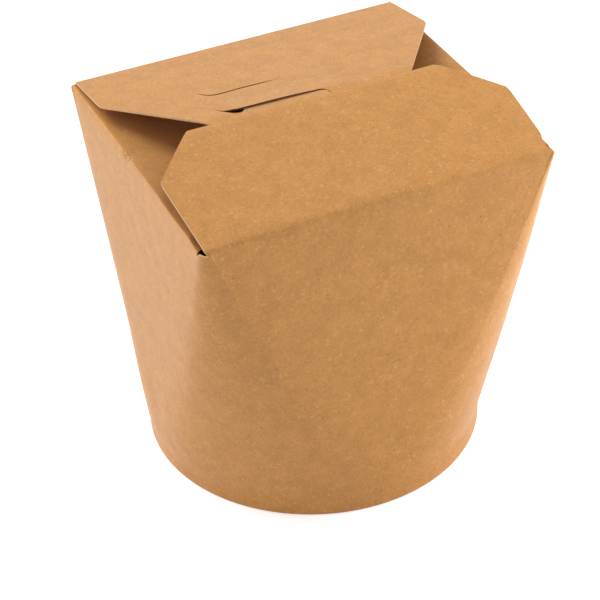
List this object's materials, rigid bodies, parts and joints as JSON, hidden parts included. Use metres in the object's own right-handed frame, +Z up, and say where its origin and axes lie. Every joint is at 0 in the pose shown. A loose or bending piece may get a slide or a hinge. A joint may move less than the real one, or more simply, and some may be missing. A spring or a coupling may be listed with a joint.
{
  "type": "noodle box",
  "caption": "Closed kraft noodle box: round foot, rectangular top, and a front flap whose tongue tucks into a slit in the rear flap.",
  "frame": {"origin": "centre of the round foot, on the surface that the box stands on", "axes": "+Z up, -Y towards the front panel whose flap closes last, +X to the right seen from the front"},
  "size_m": [0.0942, 0.0908, 0.1016],
  "materials": {
    "kraft_wall": "uncoated brown kraft board with fine pale fibres and dark specks",
    "kraft_flap": "uncoated brown kraft board with fine pale fibres and dark specks",
    "kraft_base": "plain kraft board, a little smoother than the outside"
  },
  "bodies": {
    "box": {"side_wall": "kraft_wall", "base_disc": "kraft_base"},
    "lid_flap": {"front_flap": "kraft_flap"}
  },
  "joints": [
    {"name": "front_flap_fold", "type": "hinge", "parent": "box", "child": "lid_flap", "pos_m": [0, -0.043, 0.09359], "axis": [1, 0, 0], "range_deg": [0, 180]}
  ]
}
